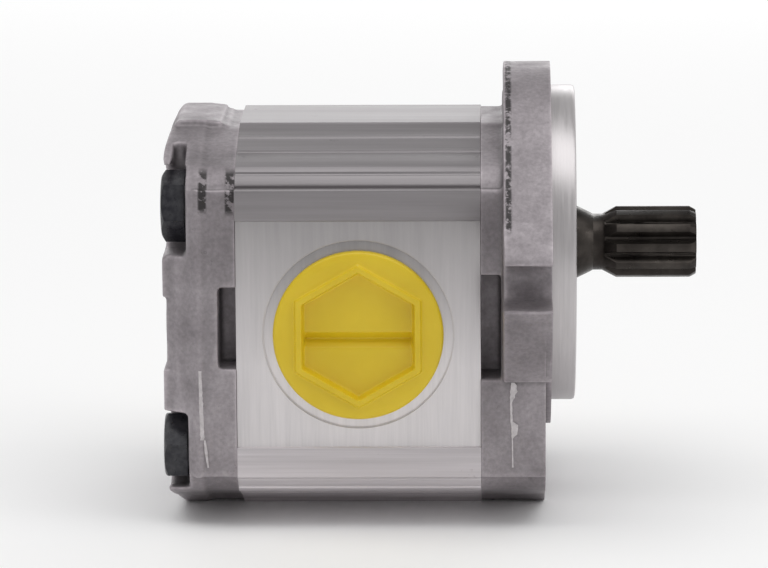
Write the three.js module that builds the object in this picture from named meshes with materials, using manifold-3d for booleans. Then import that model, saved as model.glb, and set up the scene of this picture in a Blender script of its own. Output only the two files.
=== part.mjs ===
// External gear pump with a two-bolt mounting flange and a splined drive shaft.
// Millimetres, +Z up. The origin is on the drive shaft's axis, in the plane of the flange's mounting
// face; +X runs along the shaft, out of the pump. The inlet port faces -Y and the outlet port +Y.

import * as THREE from 'three';
import { mergeVertices } from 'three/addons/utils/BufferGeometryUtils.js';
import Module from 'manifold-3d';

const wasm = await Module();
wasm.setup();

// ---------------------------------------------------------------- driving dimensions

const CENTRE_DISTANCE = 31; // between the drive and driven gear axes
const MID_Z = -CENTRE_DISTANCE / 2; // height of the ports and of the stack's plane of symmetry
const FIT_GAP = 0.3; // between pieces that touch on the real pump
const HALF_GAP = FIT_GAP / 2;

const BODY_FRONT_X = -18;
const BODY_REAR_X = -80.3;
const SIDE_Y = 45; // machined port faces
const RAW_SIDE_Y = 45.9; // raw bands of the extrusion, beside the port faces
const BODY_TOP = 49.7; // above MID_Z
const BODY_BOTTOM = 50.9; // below MID_Z
const TOP_HALF_WIDTH = 15.1;
const PORT_FACE_HALF = 29.2; // half height of the machined port faces
const RAW_BAND_HALF = 37.4;
const CORNER_RADIUS = 12.6; // of the outline around each bolt

const BOLT_Y = 33;
const BOLT_RISE = 31.2; // above and below MID_Z
const BOLT_RADIUS = 4.85;
const BOLT_HOLE_RADIUS = 5.3;
const BOLT_SEAT_X = -92.8;
const BOLT_END_X = -5;
const HEAD_HEIGHT = 6.5;
const HEAD_ACROSS_FLATS = 16;
const HEAD_RECESS_RADIUS = 11.2;

const GEAR_TEETH = 12;
const GEAR_PRESSURE_ANGLE = THREE.MathUtils.degToRad(25);
const GEAR_FRONT_X = -35.4;
const GEAR_REAR_X = -62.8;
const GEAR_BACKLASH = 0.24; // taken off each tooth, at the pitch circle
const CHAMBER_RADIUS = 18.25;
const JOURNAL_RADIUS = 9.75;
const RUNNING_GAP = 0.08;

const REAR_COVER_X = -99;
const COVER_INSET = 0.4; // the cast covers are a little smaller than the body
const REAR_EDGE_RADIUS = 5;

const FLANGE_REAR_X = -12.7;
const FLANGE_RADIUS = 47.5;
const LOWER_FACE_X = -1.6; // raw front face below the machined mounting face
const EAR_BOLT_Y = 53.2;
const EAR_RADIUS = 13;
const SLOT_HALF_WIDTH = 5.6;
const PILOT_RADIUS = 41.275;
const PILOT_FRONT_X = 6.35;

const SEAL_BORE_RADIUS = 17.5;
const SEAL_BORE_END_X = -15;
const SEAL_WIDTH = 7;
const SEAL_FRONT_X = 0.9;
const RING_FRONT_X = 2.7;
const RING_THICKNESS = 1.3;

const SHAFT_END_X = 38.1;
const SPLINE_TEETH = 11;
const SPLINE_RADIUS = 9.34;
const SPLINE_ROOT_RADIUS = 7.65;
const SPLINE_START_X = 17.3;
const NECK_RADIUS = 7.35;

const PORT_X = -49.15;
const SPOT_DEPTH = 0.4;
// Radii of each port and of its plug, and the plug recess's width at its mouth and floor.
const INLET = {
  side: -1, spot: 24.4, thread: 15.9, passage: 11, flange: 21.7, flats: 31, floorFlats: 28,
};
const OUTLET = {
  side: 1, spot: 20.5, thread: 12.7, passage: 9, flange: 17.8, flats: 25, floorFlats: 22.6,
};
const PORT_DEPTH = 19;
const PLUG_LENGTH = 15.5;
const PLUG_FLANGE_THICKNESS = 3.6;
const PLUG_RECESS_DEPTH = 2.5;

const FINE_ROUND = 48; // sides of a round surface: large ones
const ROUND = 33; // middling ones
const SMALL_ROUND = 16; // and small ones

// ---------------------------------------------------------------- materials

const material = (color, roughness, metalness) =>
  new THREE.MeshStandardMaterial({ color, roughness, metalness });
const extrudedAluminium = () => material(0xb3adad, 0.42, 0.85);
const castAluminium = () => material(0x8d888b, 0.6, 0.7);
const hardenedSteel = () => material(0x34302d, 0.35, 0.9);
const blackSteel = () => material(0x17171a, 0.45, 0.6);
const brightSteel = () => material(0xb9b9bd, 0.3, 1);
const bearingBronze = () => material(0xa98147, 0.4, 0.9);
const blackRubber = () => material(0x141414, 0.8, 0);
const whitePlastic = () => material(0xe9e6da, 0.5, 0);
const yellowPlastic = () => material(0xd9bb2f, 0.45, 0);

// ---------------------------------------------------------------- making solids

// One closed solid from any three.js geometry: vertices merged by position, slivers dropped.
function solid(geometry) {
  const bare = geometry.clone();
  bare.deleteAttribute('normal');
  bare.deleteAttribute('uv');
  const merged = mergeVertices(bare, 1e-4);
  const triVerts = [];
  for (let i = 0; i < merged.index.count; i += 3) {
    const [a, b, c] = [0, 1, 2].map((k) => merged.index.getX(i + k));
    if (a !== b && b !== c && c !== a) triVerts.push(a, b, c);
  }
  const build = (tris) =>
    new wasm.Manifold(
      new wasm.Mesh({
        numProp: 3,
        vertProperties: new Float32Array(merged.attributes.position.array),
        triVerts: new Uint32Array(tris),
      }),
    );
  const first = build(triVerts);
  return first.volume() > 0 ? first : build(triVerts.reverse());
}

const joined = (...parts) => parts.reduce((sum, part) => sum.add(part));
const cut = (part, ...tools) => tools.reduce((rest, tool) => rest.subtract(tool), part);

const group = new THREE.Group();

function addPiece(name, shape, look) {
  const data = shape.getMesh();
  const geometry = new THREE.BufferGeometry();
  geometry.setAttribute('position', new THREE.BufferAttribute(new Float32Array(data.vertProperties), 3));
  geometry.setIndex(new THREE.BufferAttribute(new Uint32Array(data.triVerts), 1));
  geometry.computeVertexNormals();
  const mesh = new THREE.Mesh(geometry, look);
  mesh.name = name;
  group.add(mesh);
}

// Axes of a drawing plane: its x and y, and the direction that it is pushed along.
const PLANE_YZ = new THREE.Matrix4().makeBasis(
  new THREE.Vector3(0, 1, 0),
  new THREE.Vector3(0, 0, 1),
  new THREE.Vector3(1, 0, 0),
);

// A (y, z) outline pushed along X from x0 to x1, with an optional rounded edge at both ends.
function alongX(shape, x0, x1, edge = 0, curveSegments = 16) {
  const geometry = new THREE.ExtrudeGeometry(shape, {
    depth: x1 - x0 - 2 * edge,
    bevelEnabled: edge > 0,
    bevelThickness: edge,
    bevelSize: edge,
    bevelOffset: -edge,
    bevelSegments: 4,
    curveSegments,
  });
  geometry.translate(0, 0, x0 + edge);
  return solid(geometry.applyMatrix4(PLANE_YZ));
}

// A profile of [radius, x] corners turned round an axis parallel to X, at y and z.
function turnedX(profile, y = 0, z = 0, segments = ROUND) {
  const points = profile.map(([radius, x]) => new THREE.Vector2(radius, x));
  const geometry = new THREE.LatheGeometry(points, segments);
  geometry.rotateZ(-Math.PI / 2);
  geometry.translate(0, y, z);
  return solid(geometry);
}

// The same round the port axis, with [radius, distance from the pump's mid plane].
function turnedPort(profile, side) {
  const points = profile.map(([radius, y]) => new THREE.Vector2(radius, y));
  const geometry = new THREE.LatheGeometry(points, ROUND);
  if (side < 0) geometry.rotateX(Math.PI);
  geometry.translate(PORT_X, 0, MID_Z);
  return solid(geometry);
}

const rod = (radius, x0, x1, y, z, segments = SMALL_ROUND) =>
  turnedX([[0, x0], [radius, x0], [radius, x1], [0, x1]], y, z, segments);

function block(x, y, z) {
  const geometry = new THREE.BoxGeometry(x[1] - x[0], y[1] - y[0], z[1] - z[0]);
  geometry.translate((x[0] + x[1]) / 2, (y[0] + y[1]) / 2, (z[0] + z[1]) / 2);
  return solid(geometry);
}

const mirrored = (points) => [...points, ...points.slice().reverse().map(([y, z]) => [-y, z])];

function polygon(points) {
  return new THREE.Shape(points.map(([y, z]) => new THREE.Vector2(y, z)));
}

function arcPoints(y, z, radius, fromDegrees, toDegrees, steps) {
  return Array.from({ length: steps + 1 }, (_, i) => {
    const angle = THREE.MathUtils.degToRad(fromDegrees + ((toDegrees - fromDegrees) * i) / steps);
    return [y + radius * Math.cos(angle), z + radius * Math.sin(angle)];
  });
}

// ---------------------------------------------------------------- outline of the stack

// The section of the stack, smaller by inset all round. Only the extruded body has stepped sides.
function stackOutline(inset, stepped) {
  const corner = (sign) => arcPoints(BOLT_Y - 0.3, MID_Z + sign * BOLT_RISE, CORNER_RADIUS - inset,
    sign * 64, sign * 30, 5);
  const shoulder = (sign, reach) => [
    [TOP_HALF_WIDTH, MID_Z + sign * (reach - inset)],
    [22.7, MID_Z + sign * (47.3 - inset)],
  ];
  const machined = (sign) => [
    [RAW_SIDE_Y - inset, MID_Z + sign * (PORT_FACE_HALF + 0.4)],
    [SIDE_Y - inset, MID_Z + sign * PORT_FACE_HALF],
  ];
  const band = (sign) => [
    [RAW_SIDE_Y - inset, MID_Z + sign * RAW_BAND_HALF],
    ...(stepped ? machined(sign) : []),
  ];
  const upper = [...shoulder(1, BODY_TOP), ...corner(1), ...band(1)];
  const lower = [...shoulder(-1, BODY_BOTTOM), ...corner(-1), ...band(-1)].reverse();
  return polygon(mirrored([...upper, ...lower]));
}

const boltPlaces = [[-1, 1], [1, 1], [-1, -1], [1, -1]].map(([side, level]) => [
  side * BOLT_Y,
  MID_Z + level * BOLT_RISE,
]);
const gearAxes = [0, -CENTRE_DISTANCE];
const bodyFront = BODY_FRONT_X - HALF_GAP;
const bodyRear = BODY_REAR_X + HALF_GAP;
const coverFront = BODY_FRONT_X + HALF_GAP;
const coverRear = BODY_REAR_X - HALF_GAP;

const DOWEL_RADIUS = 3;
const DOWEL_HALF_LENGTH = 6;
const dowelPlaces = [[33, 0], [-33, -CENTRE_DISTANCE]];
const dowelHoles = (jointX) =>
  dowelPlaces.map(([y, z]) =>
    rod(DOWEL_RADIUS + FIT_GAP, jointX - DOWEL_HALF_LENGTH - 0.6, jointX + DOWEL_HALF_LENGTH + 0.6, y, z),
  );

// ---------------------------------------------------------------- body

const BODY_SEAL_RADIUS = 23.5;
const BODY_SEAL_WIDTH = 2;
const BODY_SEAL_DEPTH = 2.3;

// A closed race round both gear chambers.
function racePath(radius) {
  return polygon([
    ...arcPoints(0, 0, radius, 0, 180, 12),
    ...arcPoints(0, -CENTRE_DISTANCE, radius, 180, 360, 12),
  ]);
}

function race(radius, width, x0, x1) {
  const outer = alongX(racePath(radius + width / 2), x0, x1);
  return outer.subtract(alongX(racePath(radius - width / 2), x0 - 1, x1 + 1));
}

function portCut(port) {
  const face = SIDE_Y - SPOT_DEPTH;
  const seat = port.thread + 2.7;
  return turnedPort([
    [0, 4], [port.passage, 4], [port.passage, face - PORT_DEPTH], [port.thread, face - PORT_DEPTH],
    [port.thread, face - 2.2], [seat, face - 2.2], [seat, face], [port.spot, face], [port.spot, SIDE_Y + 2],
    [0, SIDE_Y + 2],
  ], port.side);
}

addPiece('pump_body', cut(
  alongX(stackOutline(0, true), bodyRear, bodyFront),
  ...gearAxes.map((z) => rod(CHAMBER_RADIUS, bodyRear - 1, bodyFront + 1, 0, z, FINE_ROUND)),
  portCut(INLET),
  portCut(OUTLET),
  ...boltPlaces.map(([y, z]) => rod(BOLT_HOLE_RADIUS, bodyRear - 1, bodyFront + 1, y, z)),
  ...dowelHoles(BODY_FRONT_X),
  ...dowelHoles(BODY_REAR_X),
  race(BODY_SEAL_RADIUS, BODY_SEAL_WIDTH + 2 * FIT_GAP, bodyFront - BODY_SEAL_DEPTH, bodyFront + 1),
  race(BODY_SEAL_RADIUS, BODY_SEAL_WIDTH + 2 * FIT_GAP, bodyRear - 1, bodyRear + BODY_SEAL_DEPTH),
), extrudedAluminium());

addPiece('front_body_seal',
  race(BODY_SEAL_RADIUS, BODY_SEAL_WIDTH, bodyFront - BODY_SEAL_DEPTH + FIT_GAP, bodyFront), blackRubber());
addPiece('rear_body_seal',
  race(BODY_SEAL_RADIUS, BODY_SEAL_WIDTH, bodyRear, bodyRear + BODY_SEAL_DEPTH - FIT_GAP), blackRubber());

// ---------------------------------------------------------------- rear cover

const SIDE_POCKET_FLOOR_Y = 36;

function sidePockets(x0, x1, lowZ, highZ) {
  return [-1, 1].map((side) => {
    const y = [side * SIDE_POCKET_FLOOR_Y, side * (RAW_SIDE_Y + 4)].sort((a, b) => a - b);
    return block([x0, x1], y, [lowZ, highZ]);
  });
}

// Room for a bolt head, open towards the rear and out to the nearest side.
function headRecess([y, z]) {
  const side = Math.sign(y);
  const outward = [y, side * (RAW_SIDE_Y + 6)].sort((a, b) => a - b);
  const x = [REAR_COVER_X - 2, BOLT_SEAT_X + FIT_GAP];
  const half = HEAD_RECESS_RADIUS;
  return joined(rod(half, x[0], x[1], y, z, ROUND), block(x, outward, [z - half, z + half]));
}

// A coarse envelope whose rear edge is rounded; it trims the cover's own outline.
const rearEnvelope = alongX(polygon(mirrored([
  [14.9, MID_Z + BODY_TOP], [39.5, MID_Z + 42.9], [RAW_SIDE_Y, MID_Z + 36.5],
  [RAW_SIDE_Y, MID_Z - 36.5], [39.5, MID_Z - 43.2], [14.9, MID_Z - BODY_BOTTOM],
])), REAR_COVER_X, coverRear + 2 * REAR_EDGE_RADIUS, REAR_EDGE_RADIUS);

addPiece('rear_cover', cut(
  alongX(stackOutline(COVER_INSET, false), REAR_COVER_X, coverRear).intersect(rearEnvelope),
  ...boltPlaces.map(headRecess),
  ...boltPlaces.map(([y, z]) => rod(BOLT_HOLE_RADIUS, BOLT_SEAT_X - 2, coverRear + 1, y, z)),
  ...dowelHoles(BODY_REAR_X),
  ...sidePockets(-84.2, coverRear + 1, -23.8, -5.7),
), castAluminium());

// ---------------------------------------------------------------- front cover with mounting flange

// The ear: tangent to the flange disc above, and filled out to the stack's side below.
function earOutline(side) {
  const tangent = Math.acos((FLANGE_RADIUS - EAR_RADIUS) / EAR_BOLT_Y);
  const degrees = THREE.MathUtils.radToDeg(tangent);
  const points = [
    [0, 0],
    [FLANGE_RADIUS * Math.cos(tangent), FLANGE_RADIUS * Math.sin(tangent)],
    ...arcPoints(EAR_BOLT_Y, 0, EAR_RADIUS, degrees, -degrees, 12),
    [47.5, -27.5],
    [40, -27.5],
  ];
  const drawn = points.map(([y, z]) => [side * y, z]);
  return polygon(side > 0 ? drawn.reverse() : drawn);
}

function earSlot(side) {
  const points = [
    ...arcPoints(EAR_BOLT_Y, 0, SLOT_HALF_WIDTH, 90, 270, 16),
    [EAR_BOLT_Y + 20, -SLOT_HALF_WIDTH],
    [EAR_BOLT_Y + 20, SLOT_HALF_WIDTH],
  ].map(([y, z]) => [side * y, z]);
  return alongX(polygon(side > 0 ? points : points.reverse()), FLANGE_REAR_X - 3, 3);
}

const RING_GROOVE_RADIUS = 18.6;
const ringRear = RING_FRONT_X - RING_THICKNESS;
const sealBore = turnedX([
  [0, coverFront - 1], [JOURNAL_RADIUS + 0.6, coverFront - 1], [JOURNAL_RADIUS + 0.6, SEAL_BORE_END_X],
  [SEAL_BORE_RADIUS, SEAL_BORE_END_X], [SEAL_BORE_RADIUS, ringRear - FIT_GAP],
  [RING_GROOVE_RADIUS, ringRear - FIT_GAP], [RING_GROOVE_RADIUS, RING_FRONT_X + FIT_GAP],
  [SEAL_BORE_RADIUS, RING_FRONT_X + FIT_GAP], [SEAL_BORE_RADIUS, PILOT_FRONT_X - 0.8],
  [SEAL_BORE_RADIUS + 1.2, PILOT_FRONT_X + 0.4], [0, PILOT_FRONT_X + 0.4],
]);

const lowerHalf = block([coverFront - 1, 10], [-60, 60], [-90, -12]);
const flange = joined(
  turnedX([
    [0, FLANGE_REAR_X], [FLANGE_RADIUS - 1, FLANGE_REAR_X], [FLANGE_RADIUS, FLANGE_REAR_X + 1],
    [FLANGE_RADIUS, 0], [PILOT_RADIUS, 0], [PILOT_RADIUS, PILOT_FRONT_X - 0.8],
    [PILOT_RADIUS - 0.8, PILOT_FRONT_X], [0, PILOT_FRONT_X],
  ], 0, 0, FINE_ROUND),
  alongX(earOutline(-1), FLANGE_REAR_X, 0),
  alongX(earOutline(1), FLANGE_REAR_X, 0),
);
addPiece('front_cover', cut(
  joined(
    alongX(stackOutline(COVER_INSET, false), coverFront, FLANGE_REAR_X + 1),
    alongX(stackOutline(COVER_INSET, false), coverFront, LOWER_FACE_X).intersect(lowerHalf),
    flange,
  ),
  sealBore,
  earSlot(-1),
  earSlot(1),
  ...boltPlaces.map(([y, z]) => rod(BOLT_HOLE_RADIUS, coverFront - 1, BOLT_END_X + 1, y, z)),
  ...dowelHoles(BODY_FRONT_X),
  ...sidePockets(coverFront - 1, FLANGE_REAR_X, -27.1, -0.1),
), castAluminium());

// ---------------------------------------------------------------- gears and shafts

// Points of one gear's outline round its own axis, the first tooth's middle at startAngle.
function gearOutline(startAngle) {
  const pitchRadius = CENTRE_DISTANCE / 2;
  const toothSize = CENTRE_DISTANCE / GEAR_TEETH;
  const tipRadius = pitchRadius + toothSize;
  const rootRadius = CENTRE_DISTANCE - tipRadius - 0.45;
  const baseRadius = pitchRadius * Math.cos(GEAR_PRESSURE_ANGLE);
  const involute = (radius) => {
    const angle = Math.acos(Math.min(1, baseRadius / radius));
    return Math.tan(angle) - angle;
  };
  const halfTooth = ((Math.PI * toothSize) / 2 - GEAR_BACKLASH) / 2 / pitchRadius;
  const halfAngle = (radius) =>
    halfTooth + involute(pitchRadius) - involute(Math.max(radius, baseRadius));
  const steps = 5;
  const flankRadius = (i) => baseRadius + ((tipRadius - baseRadius) * i) / steps;
  const flank = Array.from({ length: steps + 1 }, (_, i) => flankRadius(i));
  const points = [];
  for (let tooth = 0; tooth < GEAR_TEETH; tooth += 1) {
    const middle = startAngle + (2 * Math.PI * tooth) / GEAR_TEETH;
    const place = (radius, angle) => {
      const turn = middle + angle;
      points.push([radius * Math.cos(turn), radius * Math.sin(turn)]);
    };
    place(rootRadius, -halfAngle(baseRadius) - 0.03);
    flank.forEach((radius) => place(radius, -halfAngle(radius)));
    flank.slice().reverse().forEach((radius) => place(radius, halfAngle(radius)));
    place(rootRadius, halfAngle(baseRadius) + 0.03);
  }
  return points;
}

function gear(axisZ, startAngle) {
  const outline = gearOutline(startAngle).map(([y, z]) => [y, z + axisZ]);
  return alongX(polygon(outline), GEAR_REAR_X, GEAR_FRONT_X);
}

// One gully between two spline teeth, from the neck to past the shaft's end.
function splineGully(index) {
  const angle = (2 * Math.PI * (index + 0.5)) / SPLINE_TEETH;
  const gully = [
    [SPLINE_ROOT_RADIUS, -0.45], [SPLINE_RADIUS + 0.6, -2.15], [SPLINE_RADIUS + 0.6, 2.15],
    [SPLINE_ROOT_RADIUS, 0.45],
  ].map(([radial, across]) => [
    -(radial * Math.cos(angle) - across * Math.sin(angle)),
    radial * Math.sin(angle) + across * Math.cos(angle),
  ]);
  return alongX(polygon(gully), PILOT_FRONT_X + 5.5, SHAFT_END_X + 2);
}

const journalFront = BODY_FRONT_X - 1.2;
const journalRear = BODY_REAR_X + 1.6;
const shaftBlank = turnedX([
  [0, journalRear], [JOURNAL_RADIUS - 0.8, journalRear], [JOURNAL_RADIUS, journalRear + 0.8],
  [JOURNAL_RADIUS, PILOT_FRONT_X + 0.2], [NECK_RADIUS, PILOT_FRONT_X + 4.4], [NECK_RADIUS, 13.9],
  [SPLINE_RADIUS, SPLINE_START_X], [SPLINE_RADIUS, SHAFT_END_X - 1.6], [SPLINE_RADIUS - 0.9, SHAFT_END_X],
  [0, SHAFT_END_X],
]);
addPiece('drive_gear', cut(
  joined(shaftBlank, gear(0, Math.PI / 2)),
  ...Array.from({ length: SPLINE_TEETH }, (_, i) => splineGully(i)),
), hardenedSteel());

const driven = -CENTRE_DISTANCE;
addPiece('driven_gear', joined(
  turnedX([
    [0, journalRear], [JOURNAL_RADIUS - 0.8, journalRear], [JOURNAL_RADIUS, journalRear + 0.8],
    [JOURNAL_RADIUS, journalFront - 0.8], [JOURNAL_RADIUS - 0.8, journalFront], [0, journalFront],
  ], 0, driven),
  gear(driven, Math.PI / 2 + Math.PI / GEAR_TEETH),
), hardenedSteel());

// ---------------------------------------------------------------- bearing blocks, bushes and their seals

const BUSH_OUTER_RADIUS = 11;
const BLOCK_RADIUS = CHAMBER_RADIUS - 0.35;
const GROOVE_DEPTH = 1.7;
const SEAL_BAND = [14.2, 15.6];
const BACKUP_BAND = [12.8, 13.9];

// A strip in the shape of a 3 on the outlet side, between two radii round both gear axes.
function threeStrip([inner, outer], spare, x0, x1) {
  const reach = 100 + 3 * spare;
  const upper = (radius, turn) => arcPoints(0, 0, radius, ...(turn ? [-65, reach] : [reach, -65]), 11);
  const lower = (radius, turn) =>
    arcPoints(0, driven, radius, ...(turn ? [-reach, 65] : [65, -reach]), 11);
  return alongX(polygon([
    ...upper(outer + spare, false), ...lower(outer + spare, false),
    ...lower(inner - spare, true), ...upper(inner - spare, true),
  ].reverse()), x0, x1);
}

// end is +1 for the block at the flange end and -1 for the one at the rear.
function bearingStack(end, label) {
  const inner = end > 0 ? GEAR_FRONT_X + 0.15 : GEAR_REAR_X - 0.15;
  const outer = end > 0 ? bodyFront - 0.1 : bodyRear + 0.1;
  const span = (a, b) => [Math.min(a, b), Math.max(a, b)];
  const [x0, x1] = span(inner, outer);
  const groove = span(outer + end, outer - end * GROOVE_DEPTH);
  const strip = span(outer, outer - end * (GROOVE_DEPTH - FIT_GAP));
  addPiece(`${label}_bearing_block`, cut(
    joined(...gearAxes.map((z) => rod(BLOCK_RADIUS, x0, x1, 0, z, ROUND))),
    ...gearAxes.map((z) => rod(BUSH_OUTER_RADIUS + FIT_GAP, x0 - 1, x1 + 1, 0, z, ROUND)),
    threeStrip([BACKUP_BAND[0], SEAL_BAND[1]], FIT_GAP, ...groove),
  ), extrudedAluminium());
  addPiece(`${label}_pressure_seal`, threeStrip(SEAL_BAND, 0, ...strip), blackRubber());
  addPiece(`${label}_backup_ring`, threeStrip(BACKUP_BAND, 0, ...strip), whitePlastic());
  gearAxes.forEach((z, i) => {
    const bore = JOURNAL_RADIUS + RUNNING_GAP;
    const bush = [inner + end * 0.5, outer - end * 0.8];
    const [b0, b1] = span(...bush);
    addPiece(`${label}_bush_${i === 0 ? 'drive' : 'driven'}`, turnedX([
      [bore, b0], [BUSH_OUTER_RADIUS, b0], [BUSH_OUTER_RADIUS, b1], [bore, b1], [bore, b0],
    ], 0, z, 66), bearingBronze());
  });
}
bearingStack(1, 'front');
bearingStack(-1, 'rear');

// ---------------------------------------------------------------- shaft seals

const SEAL_OUTER_RADIUS = SEAL_BORE_RADIUS - FIT_GAP;
const LIP_RADIUS = JOURNAL_RADIUS + 0.1;
const LIP_OUTER_RADIUS = 11.2;

// A lip seal seven millimetres wide whose air side faces out at frontX.
function lipSeal(frontX) {
  const rearX = frontX - SEAL_WIDTH;
  const wall = SEAL_OUTER_RADIUS - 1.4;
  return turnedX([
    [wall, rearX], [SEAL_OUTER_RADIUS, rearX], [SEAL_OUTER_RADIUS, frontX - 0.4],
    [SEAL_OUTER_RADIUS - 0.4, frontX], [LIP_RADIUS + 1, frontX], [LIP_RADIUS, frontX - 1.5],
    [LIP_RADIUS, rearX + 0.8], [LIP_OUTER_RADIUS, rearX + 0.8], [LIP_OUTER_RADIUS, frontX - 1.6],
    [wall, frontX - 1.6], [wall, rearX],
  ]);
}

function garterSpring(frontX) {
  const wire = 0.55;
  const ring = arcPoints(LIP_OUTER_RADIUS + FIT_GAP + wire, frontX - SEAL_WIDTH + 1.8, wire, 0, 360, 6);
  return turnedX(ring, 0, 0, SMALL_ROUND);
}

const innerSealFront = SEAL_BORE_END_X + FIT_GAP + SEAL_WIDTH;
addPiece('shaft_seal', lipSeal(SEAL_FRONT_X), blackRubber());
addPiece('shaft_seal_spring', garterSpring(SEAL_FRONT_X), brightSteel());
addPiece('inner_shaft_seal', lipSeal(innerSealFront), blackRubber());
addPiece('inner_seal_spring', garterSpring(innerSealFront), brightSteel());
const spacer = [innerSealFront + FIT_GAP, SEAL_FRONT_X - SEAL_WIDTH - FIT_GAP];
addPiece('seal_spacer', turnedX([
  [LIP_OUTER_RADIUS, spacer[0]], [SEAL_OUTER_RADIUS, spacer[0]], [SEAL_OUTER_RADIUS, spacer[1]],
  [LIP_OUTER_RADIUS, spacer[1]], [LIP_OUTER_RADIUS, spacer[0]],
]), brightSteel());

function retainingRing() {
  const outer = RING_GROOVE_RADIUS - FIT_GAP;
  const inner = 15.4;
  const hook = 13.4;
  const outline = polygon([
    ...arcPoints(0, 0, outer, -80, 260, 28),
    ...arcPoints(0, 0, hook, 258, 250, 2),
    ...arcPoints(0, 0, inner, 242, -62, 24),
    ...arcPoints(0, 0, hook, -70, -78, 2),
  ]);
  [-74, 254].forEach((degrees) => {
    const [[y, z]] = arcPoints(0, 0, 15.6, degrees, degrees, 1);
    const eye = new THREE.Path();
    eye.absarc(y, z, 0.75, 0, 2 * Math.PI, true);
    outline.holes.push(eye);
  });
  return alongX(outline, ringRear, RING_FRONT_X, 0, 8);
}
addPiece('seal_retaining_ring', retainingRing(), blackSteel());

// ---------------------------------------------------------------- bolts and dowels

function coverBolt([y, z], turn) {
  const across = HEAD_ACROSS_FLATS / Math.sqrt(3);
  const top = BOLT_SEAT_X - HEAD_HEIGHT;
  const hexagon = alongX(polygon(arcPoints(y, z, across, turn, turn + 300, 5)), top, BOLT_SEAT_X - 0.5);
  const chamfer = turnedX([
    [0, top], [HEAD_ACROSS_FLATS / 2 - 0.3, top], [across + 0.2, top + 0.9], [across + 0.2, BOLT_SEAT_X],
    [0, BOLT_SEAT_X],
  ], y, z);
  const shank = turnedX([
    [0, BOLT_SEAT_X - 1], [HEAD_ACROSS_FLATS / 2 - 0.4, BOLT_SEAT_X - 1],
    [HEAD_ACROSS_FLATS / 2 - 0.4, BOLT_SEAT_X], [BOLT_RADIUS, BOLT_SEAT_X], [BOLT_RADIUS, BOLT_END_X - 1],
    [BOLT_RADIUS - 1, BOLT_END_X], [0, BOLT_END_X],
  ], y, z, SMALL_ROUND);
  return joined(hexagon.intersect(chamfer), shank);
}
boltPlaces.forEach((place, i) => {
  addPiece(`cover_bolt_${i + 1}`, coverBolt(place, 15 + 17 * i), blackSteel());
});

[[BODY_FRONT_X, 'front'], [BODY_REAR_X, 'rear']].forEach(([jointX, label]) => {
  dowelPlaces.forEach(([y, z], i) => {
    const [x0, x1] = [jointX - DOWEL_HALF_LENGTH, jointX + DOWEL_HALF_LENGTH];
    addPiece(`${label}_dowel_${i + 1}`, turnedX([
      [0, x0], [DOWEL_RADIUS - 0.6, x0], [DOWEL_RADIUS, x0 + 0.6], [DOWEL_RADIUS, x1 - 0.6],
      [DOWEL_RADIUS - 0.6, x1], [0, x1],
    ], y, z, SMALL_ROUND), brightSteel());
  });
});

// ---------------------------------------------------------------- shipping plugs

const plugSeat = SIDE_Y - SPOT_DEPTH + FIT_GAP;
const plugFace = plugSeat + PLUG_FLANGE_THICKNESS;

// Six-sided recess whose walls draw in from the mouth to the floor, two corners up and down.
function hexRecess(port) {
  const floor = plugFace - PLUG_RECESS_DEPTH;
  const radius = (flats) => flats / Math.sqrt(3);
  const slope = (port.flats - port.floorFlats) / Math.sqrt(3) / PLUG_RECESS_DEPTH;
  const over = 1;
  const geometry = new THREE.CylinderGeometry(
    radius(port.flats) + slope * over, radius(port.floorFlats), PLUG_RECESS_DEPTH + over, 6,
  );
  geometry.translate(0, (floor + plugFace + over) / 2, 0);
  if (port.side < 0) geometry.rotateX(Math.PI);
  geometry.translate(PORT_X, 0, MID_Z);
  return solid(geometry);
}

function shippingPlug(port) {
  const shank = port.thread - 0.5;
  const end = plugSeat - PLUG_LENGTH;
  const blank = turnedPort([
    [0, end + 2], [shank - 2.6, end + 2], [shank - 2.6, end], [shank - 1.2, end], [shank, end + 1.2],
    [shank, plugSeat], [port.flange, plugSeat], [port.flange, plugFace - 0.9], [port.flange - 0.9, plugFace],
    [0, plugFace],
  ], port.side);
  return blank.subtract(hexRecess(port));
}

function plugSeal(port) {
  const inner = port.thread - 0.2;
  const outer = port.thread + 2.4;
  const top = plugSeat - FIT_GAP;
  return turnedPort([
    [inner, top - 1.8], [outer, top - 1.8], [outer, top], [inner, top], [inner, top - 1.8],
  ], port.side);
}

[[INLET, 'inlet'], [OUTLET, 'outlet']].forEach(([port, label]) => {
  addPiece(`${label}_plug`, shippingPlug(port), yellowPlastic());
  addPiece(`${label}_plug_seal`, plugSeal(port), blackRubber());
});

export default group;
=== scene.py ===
"""Hydraulic gear pump: the visible castings, shaft, plugs and bolts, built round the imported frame.

Lengths below are millimetres in the frame's axes: +X along the drive shaft and out of the pump, +Z
up, the inlet port on -Y. They become metres when a mesh is made.
"""

import math

import bmesh
import bpy
from mathutils import Matrix, Vector, noise


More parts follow.
